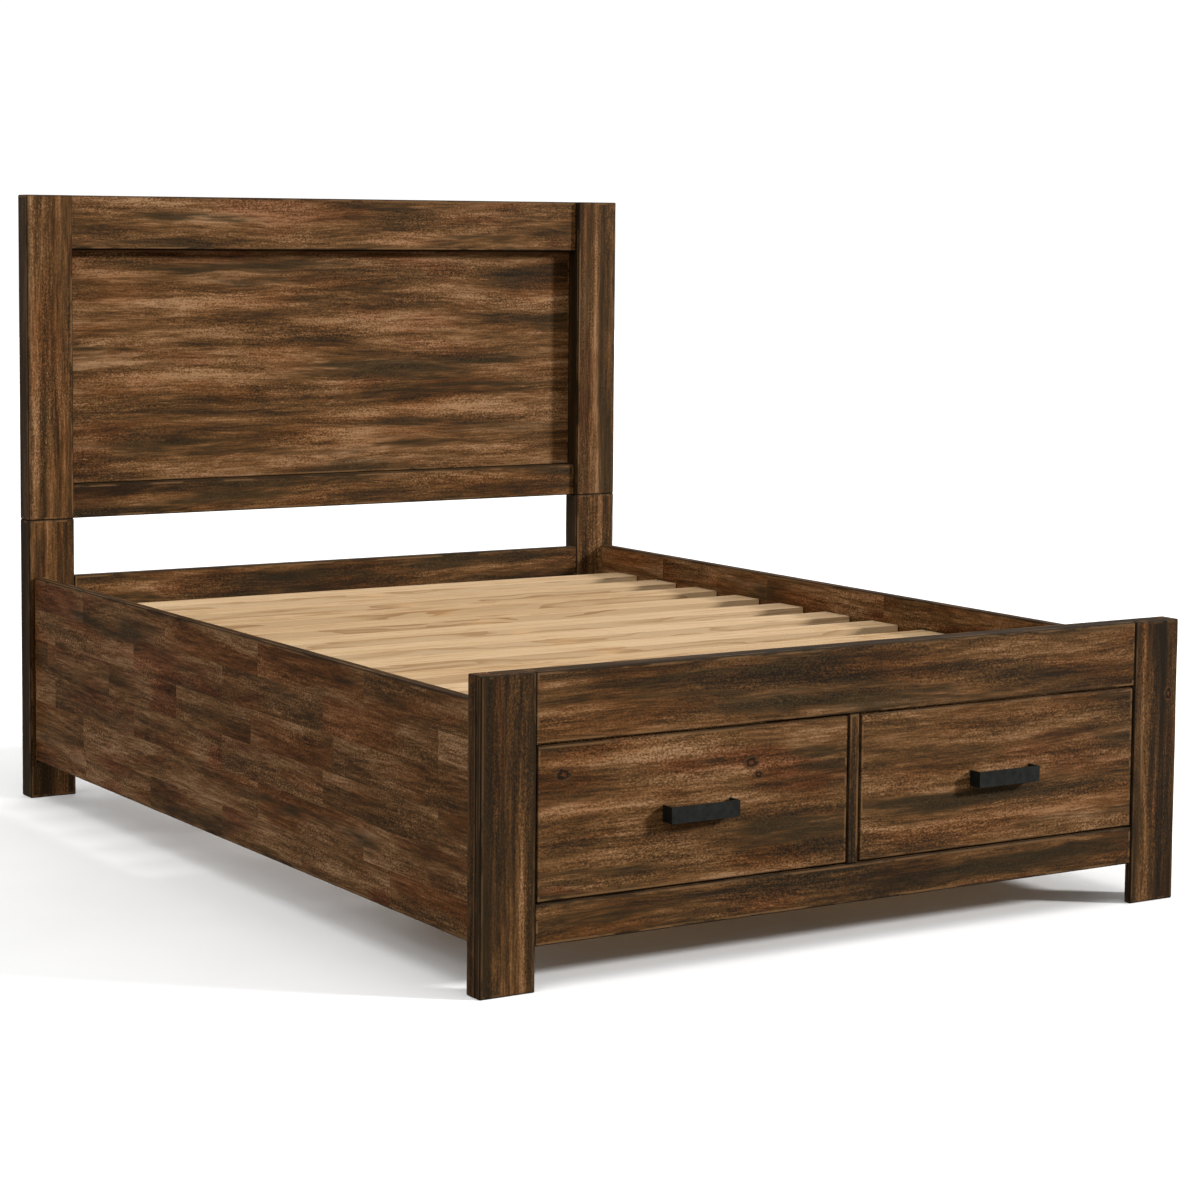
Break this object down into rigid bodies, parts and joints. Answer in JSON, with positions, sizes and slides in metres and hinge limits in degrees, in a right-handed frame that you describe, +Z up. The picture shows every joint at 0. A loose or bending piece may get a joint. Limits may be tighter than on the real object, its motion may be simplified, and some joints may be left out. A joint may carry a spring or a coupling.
{
  "type": "storage bed frame",
  "caption": "Stained wood bed frame with a framed panel headboard, deep side rails, a slatted deck and drawers that slide out of the footboard.",
  "frame": {"origin": "on the floor, under the middle of the whole bed, the drawer handles included", "axes": "+Z up, +Y from the foot to the headboard, +X to the right of someone who stands at the foot and faces the headboard"},
  "size_m": [1.65, 2.228, 1.44],
  "materials": {
    "stained_wood": "satin, dark brown stain over streaky rustic hardwood",
    "slat_wood": "plain planed pine",
    "drawer_wood": "clear sealed light wood",
    "black_metal": "matt black powder coat",
    "zinc_steel": "bright zinc plate"
  },
  "bodies": {
    "bed_frame": {"case_rear_rail": "drawer_wood", "case_runner_left_inner": "zinc_steel", "case_runner_left_outer": "zinc_steel", "case_runner_right_inner": "zinc_steel", "case_runner_right_outer": "zinc_steel", "case_side_left": "drawer_wood", "case_side_right": "drawer_wood", "centre_beam": "slat_wood", "centre_beam_leg_1": "slat_wood", "centre_beam_leg_2": "slat_wood", "centre_partition": "stained_wood", "corner_bracket_foot_left": "zinc_steel", "corner_bracket_foot_right": "zinc_steel", "corner_bracket_head_left": "zinc_steel", "corner_bracket_head_right": "zinc_steel", "foot_bottom_rail": "stained_wood", "foot_leg_face_left": "stained_wood", "foot_leg_face_right": "stained_wood", "foot_leg_side_left": "stained_wood", "foot_leg_side_right": "stained_wood", "foot_top_rail": "stained_wood", "head_cross_rail": "stained_wood", "headboard_bottom_rail": "stained_wood", "headboard_leg_left": "stained_wood", "headboard_leg_right": "stained_wood", "headboard_panel": "stained_wood", "headboard_post_left": "stained_wood", "headboard_post_right": "stained_wood", "headboard_top_rail": "stained_wood", "side_rail_left": "stained_wood", "side_rail_right": "stained_wood", "slat_01": "slat_wood", "slat_02": "slat_wood", "slat_03": "slat_wood", "slat_04": "slat_wood", "slat_05": "slat_wood", "slat_06": "slat_wood", "slat_07": "slat_wood", "slat_08": "slat_wood", "slat_09": "slat_wood", "slat_10": "slat_wood", "slat_11": "slat_wood", "slat_ledger_left": "slat_wood", "slat_ledger_right": "slat_wood"},
    "left_drawer": {"drawer_back_left": "drawer_wood", "drawer_bottom_left": "drawer_wood", "drawer_front_left": "stained_wood", "drawer_handle_left": "black_metal", "drawer_runner_left_inner": "zinc_steel", "drawer_runner_left_outer": "zinc_steel", "drawer_side_left_inner": "drawer_wood", "drawer_side_left_outer": "drawer_wood"},
    "right_drawer": {"drawer_back_right": "drawer_wood", "drawer_bottom_right": "drawer_wood", "drawer_front_right": "stained_wood", "drawer_handle_right": "black_metal", "drawer_runner_right_inner": "zinc_steel", "drawer_runner_right_outer": "zinc_steel", "drawer_side_right_inner": "drawer_wood", "drawer_side_right_outer": "drawer_wood"}
  },
  "joints": [
    {"name": "left_drawer_slide", "type": "slide", "parent": "bed_frame", "child": "left_drawer", "axis": [0, -1, 0], "range_m": [0, 0.35]},
    {"name": "right_drawer_slide", "type": "slide", "parent": "bed_frame", "child": "right_drawer", "axis": [0, -1, 0], "range_m": [0, 0.35]}
  ]
}
